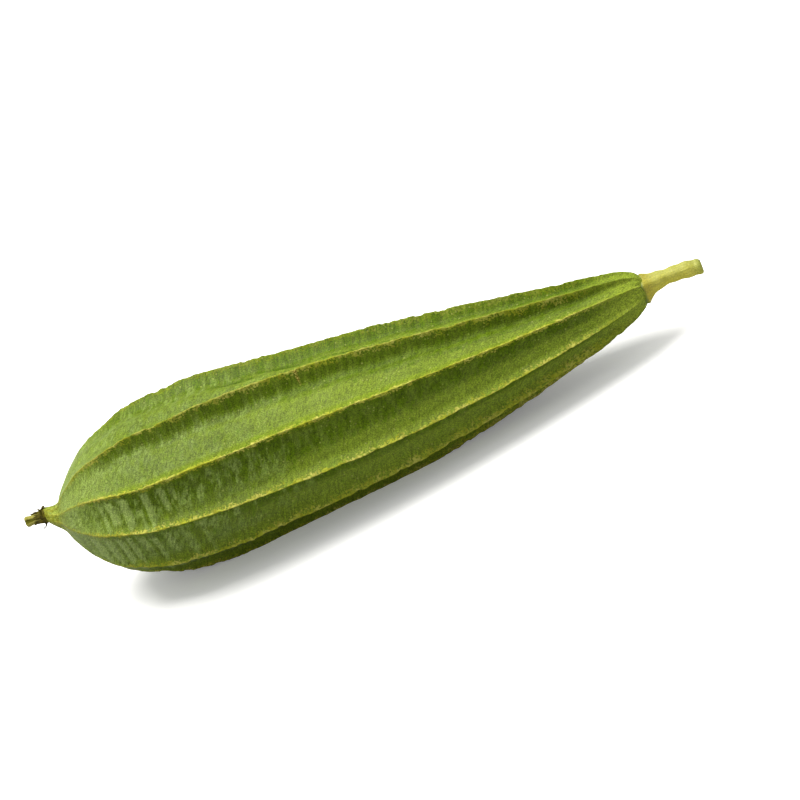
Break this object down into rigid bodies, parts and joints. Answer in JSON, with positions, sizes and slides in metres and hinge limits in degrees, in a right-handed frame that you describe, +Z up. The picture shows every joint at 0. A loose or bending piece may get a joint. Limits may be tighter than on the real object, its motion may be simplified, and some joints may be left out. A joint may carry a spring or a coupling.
{
  "type": "ridge gourd",
  "caption": "Whole ridge gourd as picked, lying on its belly: tapering ridged fruit with a blunt blossom end, cut stem and withered flower remnant.",
  "frame": {"origin": "under the middle of the bounding box, on the surface that the gourd lies on", "axes": "+X along the fruit from the blossom end to the stem, +Z up"},
  "size_m": [0.2818, 0.072, 0.0686],
  "materials": {
    "skin": "green plant skin, satin, with pale corky ridge crests",
    "stalk": "pale yellow-green stalk, matte and fibrous",
    "dry_flower": "dry brown calyx and olive stub, matte"
  },
  "bodies": {
    "root": {"fruit": "skin", "stem": "stalk", "flower_remnant": "dry_flower"}
  },
  "joints": []
}
